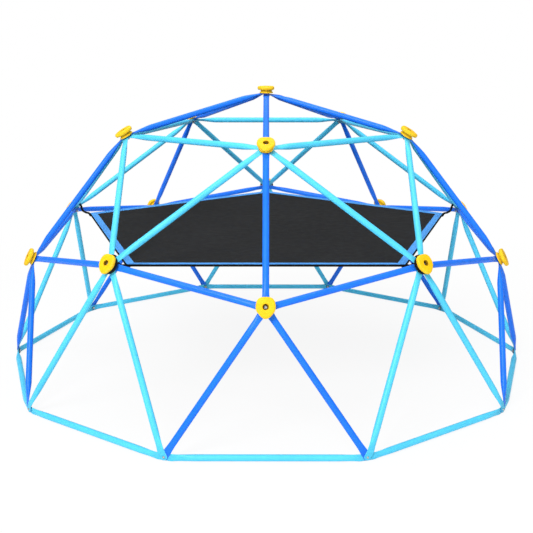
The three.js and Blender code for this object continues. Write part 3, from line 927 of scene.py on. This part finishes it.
def spline(path, per_span=8):
    """Points on a Catmull-Rom curve through path."""
    path = np.array(path, float)
    padded = np.vstack([2 * path[0] - path[1], path, 2 * path[-1] - path[-2]])
    out = []
    for i in range(1, len(padded) - 2):
        p0, p1, p2, p3 = padded[i - 1:i + 3]
        for t in np.arange(per_span) / per_span:
            out.append(0.5 * (2 * p1 + (p2 - p0) * t + (2 * p0 - 5 * p1 + 4 * p2 - p3) * t**2
                              + (3 * p1 - p0 - 3 * p2 + p3) * t**3))
    return np.array(out + [path[-1]])


def strap(index, hub):
    """A strap of three plies: wound in the cap's groove, then between two tubes, under the mat's corner."""
    middle = hub.half + SEAT + CAP_NECK_MIDDLE
    points, faces, uvs = [], [], []

    def add(rings, closed, across, lengths):
        made, made_faces = rings_mesh(rings, closed=closed)
        faces.extend(tuple(i + len(points) for i in face) for face in made_faces)
        points.extend(made)
        uvs.extend((x, run) for run in lengths for x in across)

    angles = np.arange(96) / 96 * 2 * math.pi
    for turn, lap in enumerate(LOOP_LAPS):
        ply = rounded_slab(LOOP_WIDTH + lap, PLY_THICKNESS, 4)
        ply[:, 0] -= lap / 2
        radius = CAP_NECK_RADIUS + 0.4 * MM + (turn + 0.5) * PLY_THICKNESS + (0.4 * MM if lap else 0)
        bulge = 0.06 * MM * (turn + 1)
        rings = []
        for a in angles:
            r = radius + bulge * math.sin(5 * a + 1 + 0.9 * turn) + ply[:, 1]
            out = middle + ply[:, 0] + 0.12 * MM * math.sin(2 * a + turn)
            rings.append(hub.place(math.sin(a) * r, out, math.cos(a) * r))
        add(rings, True, ply[:, 0], angles * radius)

    up = -hub.down
    corner = unit(hub.position * (1, 1, 0)) * MAT_RADIUS
    path = [hub.position + hub.normal * (middle + o * MM) + up * a * MM for a, o in STRAP_PATH_MM]
    under = MAT_Z - 1.9 * MM - 1.5 * TAIL_PLY - 0.5 * MM
    below_roll = MAT_Z - MAT_HALF - ROLL_DROP - 1.5 * TAIL_PLY - 0.4 * MM
    path.append(np.array([*corner[:2], below_roll]) - unit(corner) * 6 * MM)
    path += [np.array([*corner[:2], under]) - unit(corner) * reach * MM for reach in (26, 48, 74)]
    line = spline(path)
    ahead = np.array([unit(line[min(i + 1, len(line) - 1)] - line[max(i - 1, 0)]) for i in range(len(line))])
    thick = np.cross(ahead, hub.across)
    run = np.cumsum(np.linalg.norm(np.diff(line, axis=0, prepend=line[:1]), axis=1))
    for layer in (-1, 0, 1):
        rings = []
        for i, point in enumerate(line):
            width = LOOP_WIDTH + (STRAP_WIDTH - LOOP_WIDTH) * smooth_step(run[i] / (14 * MM))
            gap = 0.2 * MM * math.sin(run[i] * 60 + index)
            ply = rounded_slab(width, TAIL_PLY, 4)
            place = point + thick[i] * layer * (TAIL_PLY + abs(gap))
            rings.append(place + ply[:, :1] * hub.across + ply[:, 1:] * thick[i])
        add(rings, False, rounded_slab(STRAP_WIDTH, TAIL_PLY, 4)[:, 0], run)

    made = new_piece(f"strap_{index}", points, faces, BLACK, "black_webbing", None, uv=uvs, sharp=70)
    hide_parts(f"mat_strap_{index}")
    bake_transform(made)


for k in range(SECTORS):
    strap(k + 1, middle_hubs[2 * k + 1])


# ---------------------------------------------------------------- stage
FOCAL_PIXELS, IMAGE_PIXELS, SENSOR_MM = 919.6, 533, 36
CAMERA_PLACE = (0.0108, -5.354, 1.9408)
CAMERA_TURN = (math.pi / 2 - 0.2533, 0, 0.0023)
CAMERA_SHIFT = 0.0008  # of the picture's width
LAMPS = (
    # name, place, size in metres, power in watts
    ("key", (-4.4, -8.8, 8.8), 4.8, 1080),
    ("front", (1.2, -6.5, 1.6), 3.0, 38),
    ("fill", (4.2, -4.6, 2.6), 3.0, 26),
    ("top", (0.0, 0.6, 5.5), 4.0, 100),
)


def floor():
    """A pale floor that fades to white, lit from above and glowing faintly up at the dome."""
    t = Tree("studio_floor")
    split = t.add("SeparateXYZ", {"Vector": t.coord})
    x, y = split.outputs["X"], split.outputs["Y"]
    distance = t.math("SQRT", t.math("ADD", t.math("MULTIPLY", x, x), t.math("MULTIPLY", y, y)))
    seen = t.span(distance, 1.6, 4.0, 0.90, 1.0)
    bounce = t.span(distance, 1.2, 3.2, 0.21, 0.0)
    camera_ray = t.add("LightPath").outputs["Is Camera Ray"]
    fade = t.math("ADD", t.math("MULTIPLY", seen, camera_ray),
                  t.math("MULTIPLY", bounce, t.math("SUBTRACT", 1.0, camera_ray)))
    diffuse = t.add("BsdfDiffuse", {"Color": (0.9, 0.9, 0.9, 1)})
    glow = t.add("Emission", {"Color": (1, 1, 1, 1), "Strength": 1.0})
    both = t.add("MixShader", {"Fac": fade})
    t.links.new(diffuse.outputs[0], both.inputs[1])
    t.links.new(glow.outputs[0], both.inputs[2])
    out = t.add("OutputMaterial")
    t.links.new(both.outputs[0], out.inputs["Surface"])
    mesh = bpy.data.meshes.new("floor")
    size = 60
    mesh.from_pydata([(-size, -size, 0), (size, -size, 0), (size, size, 0), (-size, size, 0)], [], [(0, 1, 2, 3)])
    mesh.materials.append(t.material)
    made = bpy.data.objects.new("floor", mesh)
    made.location.z = -0.5 * MM
    bpy.context.scene.collection.objects.link(made)


def studio_world():
    """White to the camera. As light it is strong overhead and weak at the horizon."""
    world = bpy.data.worlds.new("studio")
    bpy.context.scene.world = world
    world.use_nodes = True
    nodes, links = world.node_tree.nodes, world.node_tree.links
    nodes.clear()
    rays, coord = nodes.new("ShaderNodeLightPath"), nodes.new("ShaderNodeTexCoord")
    split, height = nodes.new("ShaderNodeSeparateXYZ"), nodes.new("ShaderNodeMapRange")
    seen, light = nodes.new("ShaderNodeBackground"), nodes.new("ShaderNodeBackground")
    mix, out = nodes.new("ShaderNodeMixShader"), nodes.new("ShaderNodeOutputWorld")
    for key, value in (("From Min", -0.1), ("From Max", 0.9), ("To Min", 0.20), ("To Max", 0.57)):
        height.inputs[key].default_value = value
    seen.inputs["Color"].default_value = light.inputs["Color"].default_value = (1, 1, 1, 1)
    links.new(coord.outputs["Generated"], split.inputs[0])
    links.new(split.outputs["Z"], height.inputs["Value"])
    links.new(height.outputs["Result"], light.inputs["Strength"])
    links.new(rays.outputs["Is Camera Ray"], mix.inputs["Fac"])
    links.new(light.outputs[0], mix.inputs[1])
    links.new(seen.outputs[0], mix.inputs[2])
    links.new(mix.outputs[0], out.inputs["Surface"])


def lamps_and_camera():
    scene = bpy.context.scene
    for name, place, size, power in LAMPS:
        data = bpy.data.lights.new(name, "AREA")
        data.size, data.energy = size, power
        lamp = bpy.data.objects.new(name, data)
        lamp.location = place
        lamp.rotation_mode = "QUATERNION"
        lamp.rotation_quaternion = (Vector((0, 0, 0.7)) - Vector(place)).to_track_quat("-Z", "Y")
        scene.collection.objects.link(lamp)
    data = bpy.data.cameras.new("camera")
    data.sensor_width = SENSOR_MM
    data.lens = SENSOR_MM * FOCAL_PIXELS / IMAGE_PIXELS
    data.shift_x = CAMERA_SHIFT
    camera = bpy.data.objects.new("camera", data)
    camera.location = CAMERA_PLACE
    camera.rotation_euler = CAMERA_TURN
    scene.collection.objects.link(camera)
    scene.camera = camera
    scene.view_settings.view_transform = "Standard"


floor()
studio_world()
lamps_and_camera()
